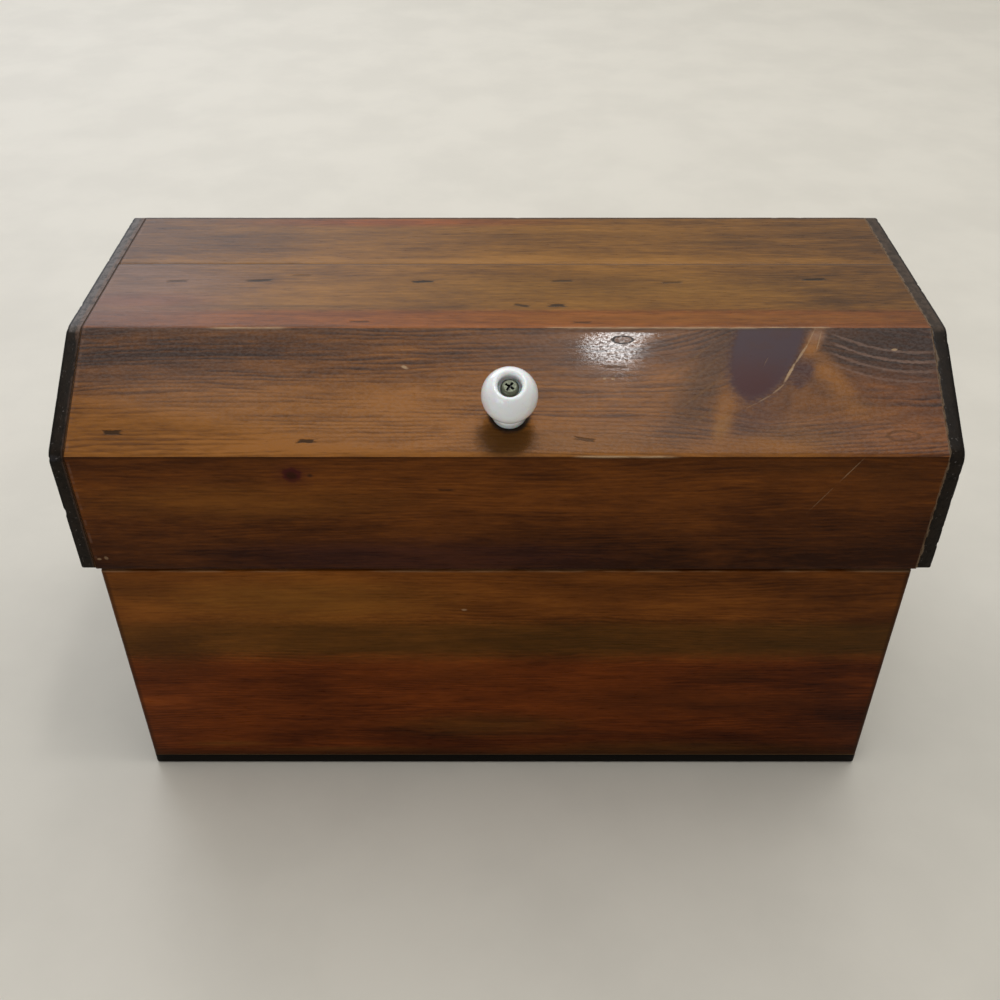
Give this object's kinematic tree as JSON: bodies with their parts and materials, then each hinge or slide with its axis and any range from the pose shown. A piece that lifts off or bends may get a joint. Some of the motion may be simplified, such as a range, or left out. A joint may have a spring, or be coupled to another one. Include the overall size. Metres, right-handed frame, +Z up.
{
  "type": "keepsake chest",
  "caption": "Keepsake chest of stained pine boards with a faceted barrel lid that hinges at the back and lifts by a white porcelain knob on its front slope.",
  "frame": {"origin": "middle of the footprint of the body, on the surface that the chest stands on", "axes": "+X to the right of someone who faces the knob, along the chest's length; +Y to the back, where the hinges are; +Z up"},
  "size_m": [0.415, 0.2443, 0.256],
  "materials": {
    "stained_pine": "reddish brown stain under satin-gloss varnish",
    "dark_pine": "near-black stain under satin-gloss varnish",
    "porcelain": "white gloss glaze",
    "steel": "zinc-plated",
    "brass": "aged, unpolished"
  },
  "bodies": {
    "chest": {"bottom_board": "dark_pine", "body_front_board": "stained_pine", "body_back_board": "stained_pine", "body_left_board": "dark_pine", "body_right_board": "dark_pine", "corner_brads": "steel", "bottom_brads": "steel", "left_hinge_body_leaf": "brass", "left_hinge_pin": "brass", "right_hinge_body_leaf": "brass", "right_hinge_pin": "brass", "hinge_body_screws": "brass"},
    "lid": {"lid_front_board": "stained_pine", "lid_front_slope_board": "stained_pine", "lid_top_front_board": "stained_pine", "lid_top_back_board": "stained_pine", "lid_back_slope_board": "stained_pine", "lid_back_board": "stained_pine", "lid_left_end": "dark_pine", "lid_right_end": "dark_pine", "lid_end_brads": "steel", "knob": "porcelain", "knob_bolt": "steel", "knob_washer": "steel", "knob_nut": "steel", "left_hinge_lid_leaf": "brass", "right_hinge_lid_leaf": "brass", "hinge_lid_screws": "brass"}
  },
  "joints": [
    {"name": "lid_hinge", "type": "hinge", "parent": "chest", "child": "lid", "pos_m": [0, 0.1204, 0.1474], "axis": [-1, 0, 0], "range_deg": [0, 180]}
  ]
}
